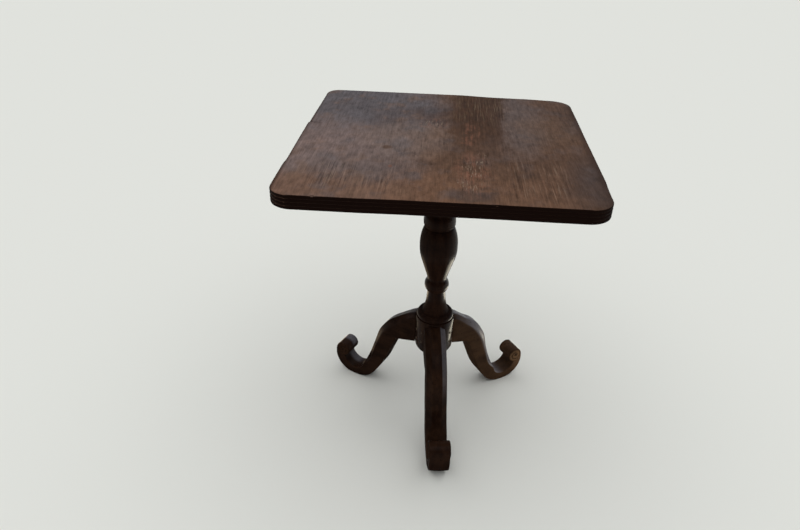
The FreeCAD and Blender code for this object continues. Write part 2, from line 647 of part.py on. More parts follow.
NODES = [column, wedge, pillar_block, pivot_pin_front, pivot_pin_back, strike_plate, strike_screws,
         leg_pegs, board_dowels, bearer_screws, catch_plate, catch_screws, catch_bolt, catch_knob]
NODES += legs + boards + bearers
for thing in doc.Objects:
    if "Invalid" in thing.State or "Error" in thing.State:
        raise RuntimeError("failed: %s %s" % (thing.Name, thing.State))
os.makedirs("parts", exist_ok=True)
for thing in NODES:
    shape = thing.Shape
    if shape.isNull() or not shape.isValid():
        raise RuntimeError("bad shape: " + thing.Name)
    if len(shape.Solids) == 1:
        shape = shape.Solids[0]
    shape.exportStep("parts/%s.step" % thing.Name)
    print(thing.Name, len(thing.Shape.Solids), round(thing.Shape.Volume))
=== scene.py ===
import math
import bpy
from mathutils import Matrix, Vector, noise


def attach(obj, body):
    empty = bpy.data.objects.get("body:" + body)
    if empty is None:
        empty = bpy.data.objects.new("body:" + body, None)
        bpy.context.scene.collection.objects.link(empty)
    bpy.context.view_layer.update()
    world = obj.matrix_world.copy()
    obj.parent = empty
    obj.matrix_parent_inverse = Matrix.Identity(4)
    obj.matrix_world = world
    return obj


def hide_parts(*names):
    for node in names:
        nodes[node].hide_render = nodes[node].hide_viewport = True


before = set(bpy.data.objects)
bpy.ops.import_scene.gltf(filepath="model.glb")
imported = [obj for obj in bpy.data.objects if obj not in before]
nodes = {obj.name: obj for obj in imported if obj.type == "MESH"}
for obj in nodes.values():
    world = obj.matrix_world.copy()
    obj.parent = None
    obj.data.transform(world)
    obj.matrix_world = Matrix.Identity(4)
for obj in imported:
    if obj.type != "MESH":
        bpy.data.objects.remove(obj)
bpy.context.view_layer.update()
noise.seed_set(5)  # or each run would wear the wood differently
mm = 0.001
print("frame loaded:", len(nodes), "nodes")


def deselect():
    if bpy.context.mode != "OBJECT":
        bpy.ops.object.mode_set(mode="OBJECT")
    bpy.ops.object.select_all(action="DESELECT")


def grab(piece):
    deselect()
    piece.select_set(True)
    bpy.context.view_layer.objects.active = piece


def edit(piece):
    grab(piece)
    bpy.ops.object.mode_set(mode="EDIT")
    bpy.ops.mesh.select_mode(type="VERT")
    bpy.ops.mesh.select_all(action="SELECT")


def pick(piece, kind, wanted):
    # in edit mode: selects the vertices, edges or polygons that wanted() says yes to
    bpy.ops.mesh.select_mode(type={"vertices": "VERT", "edges": "EDGE", "polygons": "FACE"}[kind])
    bpy.ops.mesh.select_all(action="DESELECT")
    bpy.ops.object.mode_set(mode="OBJECT")
    for item in getattr(piece.data, kind):
        item.select = wanted(item)
    bpy.ops.object.mode_set(mode="EDIT")


def modify(piece, kind, **settings):
    tool = piece.modifiers.new(kind.lower(), kind)
    for key, value in settings.items():
        setattr(tool, key, value)
    grab(piece)
    bpy.ops.object.modifier_apply(modifier=tool.name)


def duplicate(piece, name):
    grab(piece)
    bpy.ops.object.duplicate()
    copy = bpy.context.object
    copy.name = name
    return copy


def cutWith(piece, cutter):
    modify(piece, "BOOLEAN", operation="DIFFERENCE", object=cutter, solver="EXACT")
    bpy.data.objects.remove(cutter)


def cadCopy(node, name):
    # the solid's own faces, welded, so that modifiers can work on them
    piece = bpy.data.objects.new(name, nodes[node].data.copy())
    bpy.context.scene.collection.objects.link(piece)
    piece.data.materials.clear()
    edit(piece)
    bpy.ops.mesh.remove_doubles(threshold=0.02 * mm)
    bpy.ops.mesh.customdata_custom_splitnormals_clear()
    bpy.ops.mesh.dissolve_limited(angle_limit=math.radians(0.5))
    bpy.ops.object.mode_set(mode="OBJECT")
    return piece


def dress(piece, body, slotName, material, *replaced, smooth):
    piece.data.materials.clear()
    piece.data.materials.append(material)
    grab(piece)
    bpy.ops.object.transform_apply(location=True, rotation=True, scale=True)
    bpy.ops.object.shade_smooth_by_angle(angle=math.radians(smooth))
    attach(piece, body)
    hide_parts(*replaced)


class Shade:
    # a shader socket that can be added, multiplied and so on
    def __init__(self, paint, socket):
        self.paint = paint
        self.socket = socket

    def sum(self, operation, first, second):
        return self.paint.add("ShaderNodeMath", {"operation": operation}, [first, second])

    def __add__(self, other):
        return self.sum("ADD", self, other)

    def __radd__(self, other):
        return self.sum("ADD", other, self)

    def __sub__(self, other):
        return self.sum("SUBTRACT", self, other)

    def __rsub__(self, other):
        return self.sum("SUBTRACT", other, self)

    def __mul__(self, other):
        return self.sum("MULTIPLY", self, other)

    def __rmul__(self, other):
        return self.sum("MULTIPLY", other, self)

    def __truediv__(self, other):
        return self.sum("DIVIDE", self, other)

    def over(self, low, high):
        # 0 below low, 1 above high, smooth between
        return self.paint.add("ShaderNodeMapRange", {"interpolation_type": "SMOOTHSTEP"},
                              {"Value": self, "From Min": low, "From Max": high})

    def within(self, low, high, soft):
        return self.over(low - soft, low + soft) * (1 - self.over(high - soft, high + soft))


class Paint:
    def __init__(self, owner):
        owner.use_nodes = True
        self.owner = owner
        self.tree = owner.node_tree
        self.place = self.add("ShaderNodeTexCoord", output="Object")

    def add(self, kind, settings=None, values=(), output=0):
        node = self.tree.nodes.new(kind)
        for key, value in (settings or {}).items():
            if key == "stops":
                self.setStops(node.color_ramp, value)
            else:
                setattr(node, key, value)
        pairs = values.items() if isinstance(values, dict) else enumerate(values)
        for key, value in pairs:
            self.feed(node.inputs[key], value)
        return Shade(self, node.outputs[output])

    def feed(self, socket, value):
        if isinstance(value, Shade):
            self.tree.links.new(value.socket, socket)
        elif socket.type == "RGBA":
            socket.default_value = (*value[:3], 1)
        else:
            socket.default_value = value

    def setStops(self, ramp, stops):
        while len(ramp.elements) < len(stops):
            ramp.elements.new(0.5)
        for element, (where, colour) in zip(ramp.elements, stops):
            element.position = where
            element.color = (*colour, 1)

    def axes(self, place):
        node = self.add("ShaderNodeSeparateXYZ", {}, [place]).socket.node
        return [Shade(self, socket) for socket in node.outputs]

    def finish(self, **values):
        shader = self.tree.nodes["Principled BSDF"]
        for key, value in values.items():
            self.feed(shader.inputs[key.replace("_", " ")], value)
        return self.owner


def newPaint(name):
    return Paint(bpy.data.materials.new(name))


def grain(paint, place, cycles, detail, rough):
    # noise with its own number of cycles per metre along x, y and z
    spot = paint.add("ShaderNodeMapping", {}, {"Vector": place, "Scale": cycles})
    return paint.add("ShaderNodeTexNoise", {}, {"Vector": spot, "Scale": 1.0, "Detail": detail,
                                                "Roughness": rough}, output="Fac")


def wander(paint, place, cycles, reach):
    # a place pushed about a little, so that grain lines are not straight
    spot = paint.add("ShaderNodeMapping", {}, {"Vector": place, "Scale": cycles})
    cloud = paint.add("ShaderNodeTexNoise", {}, {"Vector": spot, "Scale": 1.0, "Detail": 2.0},
                      output="Color")
    centred = paint.add("ShaderNodeVectorMath", {"operation": "SUBTRACT"}, [cloud, (0.5, 0.5, 0.5)])
    pushed = paint.add("ShaderNodeVectorMath", {"operation": "MULTIPLY"}, [centred, reach])
    return paint.add("ShaderNodeVectorMath", {"operation": "ADD"}, [place, pushed])


def blend(paint, share, first, second, kind="MIX"):
    return paint.add("ShaderNodeMix", {"data_type": "RGBA", "blend_type": kind},
                     {0: share, 6: first, 7: second}, output=2)


def bump(paint, height, depth, strength):
    return paint.add("ShaderNodeBump", {}, {"Strength": strength, "Distance": depth, "Height": height})


def nearPlace(across, along, x, y, reachX, reachY):
    # 1 at a place on the top, falling to 0 at its reach
    dx = (across - x) / reachX
    dy = (along - y) / reachY
    return 1 - (dx * dx + dy * dy).over(0.05, 1.0)


topWood = {
    "brown": (0.099, 0.0535, 0.0335), "mauve": (0.176, 0.126, 0.113), "slate": (0.100, 0.090, 0.095),
    "umber": (0.050, 0.0245, 0.0145), "lilac": (0.106, 0.0775, 0.069), "smoke": (0.088, 0.068, 0.066),
    "tan": (0.118, 0.069, 0.045), "rose": (0.162, 0.113, 0.093), "front": (0.152, 0.079, 0.047),
    "dusk": (0.056, 0.039, 0.034), "red": (0.190, 0.080, 0.050), "pale": (0.34, 0.25, 0.18),
    "straw": (0.165, 0.108, 0.060), "amber": (0.160, 0.092, 0.060), "knot": (0.070, 0.034, 0.018),
    "pore": (0.034, 0.018, 0.012), "edge": (0.0090, 0.0038, 0.0027), "under": (0.075, 0.046, 0.028),
    "underDark": (0.042, 0.021, 0.013),
    # how the grain bends: cycles per metre and reach along x, y and z
    "bend": ((3, 1.2, 3), (0.010, 0.0, 0.0)),
    # patterns: cycles per metre along x, y and z, detail, roughness
    "clouds": ((7, 6, 7), 5, 0.6), "patches": ((30, 26, 40), 6, 0.66), "blots": ((17, 13, 17), 4, 0.6),
    "mottle": ((125, 40, 100), 5, 0.66), "streaks": ((190, 9, 60), 5, 0.6),
    "fine": ((600, 24, 200), 3, 0.6), "flecks": ((380, 44, 300), 3, 0.6),
    "lines": ((430, 11, 60), 3, 0.55),
    # stains and faded places, and painted sheens (the slate at the back left, the lilac strip at the
    # back right): colour, place, reach, how strong
    "stains": (("slate", (-0.190, 0.225), (0.250, 0.240), 0.90),
               ("smoke", (-0.080, 0.115), (0.120, 0.110), 0.75),
               ("smoke", (-0.215, 0.175), (0.090, 0.080), 0.35),
               ("rose", (-0.075, -0.015), (0.120, 0.130), 0.65),
               ("umber", (-0.005, 0.145), (0.080, 0.080), 0.40),
               ("lilac", (-0.150, -0.190), (0.150, 0.110), 0.55),
               ("lilac", (0.160, 0.130), (0.075, 0.260), 0.90),
               ("lilac", (0.130, -0.050), (0.080, 0.080), 0.20),
               ("tan", (0.215, 0.070), (0.100, 0.120), 0.55),
               ("front", (-0.230, -0.290), (0.200, 0.110), 0.75),
               ("front", (-0.005, -0.265), (0.150, 0.130), 0.85),
               ("front", (0.140, -0.270), (0.140, 0.110), 0.45),
               ("dusk", (0.300, -0.200), (0.105, 0.200), 0.72),
               ("dusk", (0.295, 0.200), (0.090, 0.220), 0.35),
               ("dusk", (0.052, -0.266), (0.055, 0.038), 0.65)),
    # small marks, given as the stains are, but with clear edges
    "marks": (("knot", (-0.110, -0.064), (0.012, 0.013), 0.65),
              ("dusk", (-0.143, -0.068), (0.016, 0.016), 0.35),
              ("red", (-0.096, -0.157), (0.005, 0.009), 0.50)),
    # rubbed places, and those with pale flecks: place and reach
    "rubbed": (((0.060, -0.165), (0.036, 0.125)), ((0.050, 0.030), (0.020, 0.085)),
               ((-0.030, 0.080), (0.034, 0.042))),
    "flecked": (((0.066, -0.135), (0.034, 0.072)), ((0.050, -0.215), (0.026, 0.050)),
                ((-0.030, 0.080), (0.034, 0.042))),
    # places where the grain shows as dark and light lines
    "lined": (((0.140, -0.185), (0.034, 0.110)), ((0.195, -0.190), (0.036, 0.105)),
              ((-0.205, -0.215), (0.070, 0.075)), ((-0.115, -0.245), (0.045, 0.060)),
              ((0.080, 0.190), (0.065, 0.140))),
    # where the left board's grey ends, and where the middle board's dark starts and ends
    "greyEnd": (-0.13, 0.01), "darkStart": (-0.005, 0.045), "darkEnd": (0.112, 0.131),
    "seamSlant": 0.04, "darkBehind": (-0.16, 0.13), "strawBehind": (0.02, 0.16),
    # across this the left board's patches of grey and of brown get weaker
    "patchesEnd": (-0.06, 0.06),
    # how far in the hands have darkened each side rim; the left one steps at its break
    "gripLeft": (0.2815, 0.2880), "gripRight": (0.268, 0.287), "gripSlant": 0.008, "grip": 0.7,
    "breakAt": (0.055, 0.060), "breakStep": 0.004,
    # how far up a face points to count as the upper side, and how far down as the underside
    "upper": (0.55, 0.95), "lower": (0.6, 0.95),
    "rough": 0.5, "gloss": 0.015, "bumpDepth": 0.5 * mm, "bumpStrength": 0.35}


def gather(across, along, places):
    masks = [nearPlace(across, along, *place, *reach) for place, reach in places]
    total = masks[0]
    for mask in masks[1:]:
        total = total + mask
    return total


def makeTopWood():
    paint = newPaint("worn_top_wood")
    x, y = paint.axes(paint.place)[:2]
    bent = wander(paint, paint.place, *topWood["bend"])
    clouds = grain(paint, paint.place, *topWood["clouds"]) - 0.5
    patches = grain(paint, paint.place, *topWood["patches"]) - 0.5
    blots = grain(paint, paint.place, *topWood["blots"]) - 0.5
    mottle = grain(paint, bent, *topWood["mottle"]) - 0.5
    streaks = grain(paint, bent, *topWood["streaks"]) - 0.5
    fine = grain(paint, bent, *topWood["fine"]) - 0.5
    flecks = grain(paint, paint.place, *topWood["flecks"])
    lines = grain(paint, bent, *topWood["lines"])
    across = x + patches * 0.05 + clouds * 0.08
    along = y + patches * 0.06 + clouds * 0.08
    ragged = patches * 2.2 + mottle * 2.6 + streaks * 1.2

    def worn(mask, strength):
        # a soft mask, broken up by the mottling where it is neither full nor nothing
        return (mask + mask * (1 - mask) * ragged) * strength

    # the left board is painted grey, a painted sheen
    grey = 1 - across.over(*topWood["greyEnd"])
    colour = blend(paint, worn(grey, 0.95), topWood["brown"], topWood["mauve"])

    def tint(colour, name, share):
        # lays one of the wood's colours over what is there so far
        return blend(paint, share, colour, topWood[name])

    # stains, with the painted sheens at the back left and back right among them
    for name, spot, reach, strength in topWood["stains"]:
        colour = tint(colour, name, worn(nearPlace(across, along, *spot, *reach), strength))
    # patches of grey and of brown, strongest on the left board
    uneven = 0.45 - across.over(*topWood["patchesEnd"]) * 0.25
    colour = tint(colour, "slate", blots.over(0.0, 0.20) * uneven)
    colour = tint(colour, "amber", (0 - blots).over(0.0, 0.20) * uneven)
    # the middle board has stayed dark behind, up to its seam with the right one
    start = x + patches * 0.05 + streaks * 0.03
    seam = x - y * topWood["seamSlant"] + streaks * 0.014 + patches * 0.03
    middle = start.over(*topWood["darkStart"]) * (1 - seam.over(*topWood["darkEnd"]))
    colour = tint(colour, "umber", middle * along.over(*topWood["darkBehind"]) * 0.85)
    rubbed = gather(across, along, topWood["rubbed"])
    flecked = gather(across, along, topWood["flecked"])
    lined = gather(across, along, topWood["lined"])
    colour = tint(colour, "red", rubbed * (patches + streaks).over(-0.08, 0.14) * 0.46)
    # mottled all over, with streaks of grain here and there
    tone = 0.5 + mottle * 0.62 + patches * 0.42 + fine * 0.34 + streaks * (0.32 + lined * 0.45)
    colour = blend(paint, 1.0, colour, tone, "OVERLAY")
    colour = tint(colour, "pale", lines.over(0.58, 0.66) * lined * 0.22)
    colour = tint(colour, "pore", (1 - lines.over(0.34, 0.42)) * lined * 0.50)
    colour = tint(colour, "pale", flecks.over(0.57, 0.69) * (flecked * 0.50 + 0.04))
    colour = tint(colour, "pore", (1 - flecks.over(0.34, 0.39)) * (flecked * 0.7 + 0.15))
    straw = middle * along.over(*topWood["strawBehind"])
    colour = tint(colour, "straw", lines.over(0.50, 0.60) * straw * 0.24)
    for name, spot, reach, strength in topWood["marks"]:
        colour = tint(colour, name, nearPlace(x, y, *spot, *reach) * strength)
    # hands have darkened both side rims
    leftRim = 0 - x + y.over(*topWood["breakAt"]) * topWood["breakStep"]
    rightRim = x - y * topWood["gripSlant"]
    grip = leftRim.over(*topWood["gripLeft"]) + rightRim.over(*topWood["gripRight"])
    colour = tint(colour, "pore", grip * topWood["grip"])
    # rims are near black, far darker than the upper face, and the underside was never polished
    facing = paint.axes(paint.add("ShaderNodeTexCoord", output="Normal"))[2]
    colour = blend(paint, facing.over(*topWood["upper"]), topWood["edge"], colour)
    under = blend(paint, streaks.over(-0.15, 0.2), topWood["under"], topWood["underDark"])
    colour = blend(paint, (0 - facing).over(*topWood["lower"]), colour, under)
    height = fine * 0.6 + streaks * 0.3 + mottle * 0.3
    return paint.finish(Base_Color=colour, Roughness=topWood["rough"] + patches * 0.25,
                        Normal=bump(paint, height, topWood["bumpDepth"], topWood["bumpStrength"]),
                        Specular_IOR_Level=topWood["gloss"])


polish = {
    "black": (0.0080, 0.0032, 0.0021), "brown": (0.024, 0.0105, 0.0060), "worn": (0.085, 0.046, 0.024),
    "bloom": (0.204, 0.196, 0.216), "tan": (0.120, 0.072, 0.040),
    "bend": ((5, 5, 5), (0.008, 0.008, 0.008)),
    # patterns: cycles per metre along x, y and z, detail, roughness; the first two are the grain
    "turned": ((90, 90, 6), 5, 0.6), "sawn": ((14, 90, 60), 5, 0.6),
    "clouds": ((16, 16, 16), 5, 0.6), "specks": ((260, 260, 260), 3, 0.6),
    # heights at which the painted reflection is held back and the gloss dulled: from, to, how softly
    "belly": (0.436, 0.515, 0.012), "cove": (0.272, 0.310, 0.008),
    "coatRight": 0.45, "coatLeft": 0.1, "coatFacing": (0.40, 0.85), "coatRough": 0.16,
    "rough": 0.18, "gloss": 0.03, "bumpDepth": 0.7 * mm, "bumpStrength": 0.3}


def makePolish(name, kind):
    paint = newPaint(name)

    def painted(attribute, output="Fac"):
        return paint.add("ShaderNodeAttribute", {"attribute_name": attribute}, output=output)

    if kind == "sawn":
        paint.place = painted("legPlace", "Vector")
    bent = wander(paint, paint.place, *polish["bend"])
    streaks = grain(paint, bent, *polish[kind])
    clouds = grain(paint, paint.place, *polish["clouds"])
    specks = grain(paint, paint.place, *polish["specks"])
    sideways, _, upward = paint.axes(paint.add("ShaderNodeTexCoord", output="Normal"))
    # undersides were never rubbed up
    rough = polish["rough"] + clouds * 0.16 + (0 - upward).over(0.05, 0.35) * 0.7
    colour = blend(paint, (streaks * 0.8 + clouds * 0.8 - 0.3).over(0.25, 0.75), polish["black"],
                   polish["brown"])
    edges = paint.add("ShaderNodeNewGeometry", output="Pointiness")
    rub = (edges + (clouds - 0.5) * 0.1 + (streaks - 0.5) * 0.05).over(0.525, 0.60)
    colour = blend(paint, rub * 0.55, colour, polish["worn"])
    coat = 0.0
    if kind == "turned":
        # a painted reflection: the coat is laid on faces that point right, a little on the left, least
        # on the belly and the cove
        height = paint.axes(paint.place)[2]
        belly = height.within(*polish["belly"])
        cove = height.within(*polish["cove"])
        coat = sideways.over(*polish["coatFacing"]) * polish["coatRight"]
        coat = coat + (0 - sideways).over(*polish["coatFacing"]) * polish["coatLeft"]
        coat = coat * (1 - belly * 0.75) * (1 - cove * 0.9)
        rough = rough + (0 - sideways).over(0.30, 0.80) * belly * 0.5 + cove * 0.4
    if kind == "sawn":
        # worn scroll ends, each leg's painted light and wear, and its painted sheen
        wear = painted("rollWear")
        lightWear = painted("thinPolish")
        colour = blend(paint, lightWear * (clouds * 1.2 + streaks * 0.6 - 0.4), colour, polish["worn"])
        colour = blend(paint, wear * lightWear * (clouds * 1.2 + 0.1), colour, polish["tan"])
        # the painted sheen
        colour = blend(paint, painted("bloom") * (clouds * 0.8 + 0.5), colour, polish["bloom"])
        rough = rough + wear * 0.6 + (0 - upward).over(-0.35, 0.05) * 0.5
    dirt = 1 - specks.over(0.33, 0.40)
    colour = blend(paint, dirt * 0.8, colour, polish["black"])
    height = streaks * 0.6 + clouds * 0.4 - dirt * 0.3
    return paint.finish(Base_Color=colour, Roughness=rough + dirt * 0.2, Coat_Weight=coat,
                        Coat_Roughness=polish["coatRough"], Specular_IOR_Level=polish["gloss"],
                        Normal=bump(paint, height, polish["bumpDepth"], polish["bumpStrength"]))


# the patterns are cycles per metre along x, y and z, detail and roughness
bareWood = {"dark": (0.030, 0.017, 0.010), "mid": (0.070, 0.042, 0.025), "light": (0.12, 0.078, 0.048),
            "bend": ((4, 4, 4), (0.006, 0.006, 0.006)),
            "sawn": ((4, 140, 140), 5, 0.6), "pegs": ((140, 140, 140), 5, 0.6),
            "clouds": ((12, 12, 12), 5, 0.6),
            "rough": 0.62, "gloss": 0.3, "bumpDepth": 0.8 * mm, "bumpStrength": 0.4}


def makeBareWood(name, kind):
    paint = newPaint(name)
    bent = wander(paint, paint.place, *bareWood["bend"])
    streaks = grain(paint, bent, *bareWood[kind])
    clouds = grain(paint, paint.place, *bareWood["clouds"])
    colour = paint.add("ShaderNodeValToRGB", {"stops": [
        (0.3, bareWood["dark"]), (0.55, bareWood["mid"]), (0.8, bareWood["light"])]},
        [streaks * 0.6 + clouds * 0.5 - 0.05])
    return paint.finish(Base_Color=colour, Roughness=bareWood["rough"] + clouds * 0.2,
                        Specular_IOR_Level=bareWood["gloss"],
                        Normal=bump(paint, streaks, bareWood["bumpDepth"], bareWood["bumpStrength"]))


metals = {"aged_iron": {"clean": (0.10, 0.095, 0.09), "dull": (0.045, 0.028, 0.02),
                        "metallic": 0.9, "rough": 0.45},
          "tarnished_brass": {"clean": (0.52, 0.36, 0.13), "dull": (0.16, 0.11, 0.05),
                              "metallic": 1.0, "rough": 0.32},
          "clouds": ((120, 120, 120), 6, 0.65), "spots": ((500, 500, 500), 4, 0.6),
          "bumpDepth": 0.3 * mm, "bumpStrength": 0.2}


def makeMetal(name):
    paint = newPaint(name)
    look = metals[name]
    clouds = grain(paint, paint.place, *metals["clouds"])
    spots = grain(paint, paint.place, *metals["spots"])
    age = (clouds * 0.7 + spots * 0.4).over(0.42, 0.72)
    return paint.finish(Base_Color=blend(paint, age, look["clean"], look["dull"]),
                        Metallic=look["metallic"] - age * 0.35, Roughness=look["rough"] + age * 0.3,
                        Normal=bump(paint, spots, metals["bumpDepth"], metals["bumpStrength"]))


woodTop = makeTopWood()
woodColumn = makePolish("dark_polish_turned", "turned")
woodLeg = makePolish("dark_polish_sawn", "sawn")
woodBare = makeBareWood("bare_wood", "sawn")
woodPeg = makeBareWood("peg_wood", "pegs")
iron = makeMetal("aged_iron")
brass = makeMetal("tarnished_brass")
print("materials made")


top = {"halfWide": 289 * mm, "halfDeep": 299 * mm, "above": 698 * mm, "thick": 27 * mm,
       "corners": {(-1, -1): 38 * mm, (1, -1): 44 * mm, (1, 1): 48 * mm, (-1, 1): 30 * mm},
       "cornerSteps": 14, "reeds": 4, "reedDepth": 1.5 * mm, "reedSteps": 6, "gridStep": 15 * mm,
       "seams": (17 * mm, 124 * mm), "seamEase": 0.12 * mm,
       # a slight wave, its cycles per metre, and how far in from the rims their straying reaches
       "wave": 0.25 * mm, "edgeWave": 0.4 * mm, "waveCycles": 9, "strayReach": 90 * mm,
       # nicks in the front rim, in mm: place and size
       "nicks": ((46, 4.0), (90, 4.4), (-212, 2.2)), "nickShape": (1.6, 0.9, 0.7),
       # the step in the left rim, and the crack that starts there: long, wide and deep in mm
       "breakAt": 59 * mm, "breakHalf": 1 * mm, "crack": (38, 1.1, 4), "crackTip": 0.05 * mm,
       "crackTurn": -3}
# how far each rim strays from square, in mm: place along the rim, then the shift
strays = {"left": ((-300, -1.7), (-168, -1.7), (-146, 0.5), (57, 0.5), (61, 3), (230, 5.5)),
          "right": ((-240, -5), (-205, -4), (-180, -2.4), (0, -1.4), (240, 0.7)),
          "front": ((-290, -1), (-140, -1), (-60, 1.4), (60, 2.4), (290, 2.6)),
          "back": ((-290, 0.6), (40, 0.8), (110, -7), (190, -7.6), (240, -12))}


def crossCut(axis, where):
    spot = [0, 0, 0]
    spot[axis] = where
    facing = [0, 0, 0]
    facing[axis] = 1
    bpy.ops.mesh.select_all(action="SELECT")
    bpy.ops.mesh.bisect(plane_co=spot, plane_no=facing)


def makeSlab():
    deselect()
    bpy.ops.mesh.primitive_plane_add(size=2, location=(0, 0, top["above"]))
    slab = bpy.context.object
    slab.scale = (top["halfWide"], top["halfDeep"], 1)
    bpy.ops.object.transform_apply(location=True, rotation=False, scale=True)
    edit(slab)
    for (sideX, sideY), radius in top["corners"].items():
        pick(slab, "vertices", lambda v: abs(v.co.x - sideX * top["halfWide"]) < mm
             and abs(v.co.y - sideY * top["halfDeep"]) < mm)
        bpy.ops.mesh.bevel(offset=radius, segments=top["cornerSteps"], affect="VERTICES",
                           offset_type="OFFSET")
    pick(slab, "edges", lambda e: True)
    # reeds: the rim goes down in rings, each drawn in or let out
    step = top["thick"] / top["reeds"] / top["reedSteps"]
    inset = 0.0
    for ring in range(top["reeds"] * top["reedSteps"] + 1):
        if ring:
            bpy.ops.mesh.extrude_edges_move(TRANSFORM_OT_translate={"value": (0, 0, -step)})
        part = 2 * (ring % top["reedSteps"]) / top["reedSteps"] - 1
        wanted = top["reedDepth"] * (1 - math.sqrt(1 - part * part))
        scale = [(half - wanted) / (half - inset) for half in (top["halfWide"], top["halfDeep"])]
        bpy.ops.transform.resize(value=(*scale, 1), center_override=(0, 0, top["above"]))
        inset = wanted
    bpy.ops.mesh.edge_face_add()
    for axis, half in ((0, top["halfWide"]), (1, top["halfDeep"])):
        for cut in range(1, int(2 * half / top["gridStep"])):
            crossCut(axis, -half + cut * top["gridStep"])
    crossCut(1, top["breakAt"] - top["breakHalf"])
    crossCut(1, top["breakAt"] + top["breakHalf"])
    bpy.ops.mesh.select_all(action="SELECT")
    bpy.ops.mesh.normals_make_consistent(inside=False)
    bpy.ops.object.mode_set(mode="OBJECT")
    return slab


def stray(rim, where):
    points = strays[rim]
    where = min(max(where / mm, points[0][0]), points[-1][0])
    for (start, first), (end, last) in zip(points, points[1:]):
        if where <= end:
            return (first + (last - first) * (where - start) / (end - start)) * mm


def wearSlab(slab):
    # sawn and worn by hand: rims that stray from square, and a slight wave all over
    cycles = top["waveCycles"]
    for vertex in slab.data.vertices:
        x, y, z = vertex.co
        cloud = noise.noise_vector((x * cycles, y * cycles, 0.3))
        nearX = max(0, 1 - (top["halfWide"] - abs(x)) / top["strayReach"])
        nearY = max(0, 1 - (top["halfDeep"] - abs(y)) / top["strayReach"])
        vertex.co.x += nearX * (stray("left" if x < 0 else "right", y) + top["edgeWave"] * cloud.x)
        vertex.co.y += nearY * (stray("front" if y < 0 else "back", x) + top["edgeWave"] * cloud.y)
        # only the upper face and the underside; the reeds stay level
        if z > top["above"] - 0.1 * mm:
            vertex.co.z += top["wave"] * (cloud.z - 0.5)
        elif z < top["above"] - 0.8 * top["thick"]:
            vertex.co.z += top["wave"] * cloud.z


def nickSlab(slab):
    front = -top["halfDeep"]
    for x, size in top["nicks"]:
        deselect()
        bpy.ops.mesh.primitive_ico_sphere_add(subdivisions=3, radius=size * mm,
                                              location=(x * mm, front, top["above"]))
        bpy.context.object.scale = top["nickShape"]
        cutWith(slab, bpy.context.object)
    long, wide, deep = (value * mm for value in top["crack"])
    deselect()
    bpy.ops.mesh.primitive_cone_add(vertices=4, radius1=wide, radius2=top["crackTip"], depth=long,
                                    location=(long / 2 - top["halfWide"], top["breakAt"], top["above"]),
                                    rotation=(0, math.radians(90), math.radians(top["crackTurn"])))
    bpy.context.object.scale = (deep / wide, 1, 1)
    cutWith(slab, bpy.context.object)


def makeBoards():
    slab = makeSlab()
    wearSlab(slab)
    nickSlab(slab)
    left, right = top["seams"]
    for name, low, high in (("left", None, left), ("middle", left, right), ("right", right, None)):
        board = duplicate(slab, "board_" + name)
        edit(board)
        for where, side in ((low, 1), (high, -1)):
            if where is None:
                continue
            bpy.ops.mesh.select_all(action="SELECT")
            bpy.ops.mesh.bisect(plane_co=(where, 0, 0), plane_no=(-side, 0, 0), use_fill=True,
                                clear_outer=True)
            pick(board, "edges", lambda e: all(
                abs(board.data.vertices[i].co.x - where) < 0.01 * mm
                and board.data.vertices[i].co.z > top["above"] - 0.5 * mm for i in e.vertices))
            bpy.ops.mesh.bevel(offset=top["seamEase"], segments=2, affect="EDGES")
        bpy.ops.object.mode_set(mode="OBJECT")
        dress(board, "top", "top_wood", woodTop, "top_board_" + name, smooth=40)
    bpy.data.objects.remove(slab)


makeBoards()
print("top boards made")


column = {"steps": 96, "runs": 10, "ease": 0.7 * mm, "easeAbove": 28,
          # shallow dents: how deep at which radius, and cycles per metre
          "wave": 0.35 * mm, "waveRadius": 40 * mm, "waveCycles": 22,
          # from the hub's underside up, in mm: radius, height, and how far the run from the point
          # before bows out (or in, below zero)
          "outline": [(0, 162, 0), (12, 162, 0), (44.6, 184, 8.5), (44.6, 262, 0), (41.8, 262, 0),
                      (41.8, 264.5, 0), (42.6, 264.5, 0), (34, 277, 3.2), (31.3, 277, 0),
                      (22.3, 311, -1.6), (20.7, 333, 0), (22.9, 364, 6.1), (22.9, 371, -0.7),
                      (35.6, 412, 0), (42.2, 453, 2.1), (33.2, 498, 2.6), (32, 499, 0), (32, 501, 0),
                      (34.9, 508, 1.1), (32.2, 527, 1.5), (28.6, 540, -1.6), (26.5, 616, 0),
                      (33, 620, -1.2), (33, 626, 0), (19, 626, 0), (19, 670.5, 0), (0, 670.5, 0)],
          # it stands a little aside, most at the hub, in mm: height, how far
          "lean": ((162, 4.2), (285, 4.2), (371, 3.3), (455, 2.7), (600, 0.5), (626, 0))}


def leaning(height):
    for (low, start), (high, end) in zip(column["lean"], column["lean"][1:]):
        if height <= high * mm:
            part = max(0, height / mm - low) / (high - low)
            return (start + (end - start) * part) * mm
    return 0


def turnedOutline():
    points = []
    for radius, height, bow in column["outline"]:
        end = Vector((radius, 0, height)) * mm
        if bow:
            start = points[-1]
            chord = end - start
            half = 2 * math.atan(2 * abs(bow) * mm / chord.length)
            swing = chord.length / (2 * math.sin(half))
            out = Vector((chord.z, 0, -chord.x)).normalized() * math.copysign(1, bow)
            for run in range(1, column["runs"]):
                angle = half * (2 * run / column["runs"] - 1)
                points.append((start + end) / 2 + chord.normalized() * swing * math.sin(angle)
                              + out * swing * (math.cos(angle) - math.cos(half)))
        points.append(end)
    return points


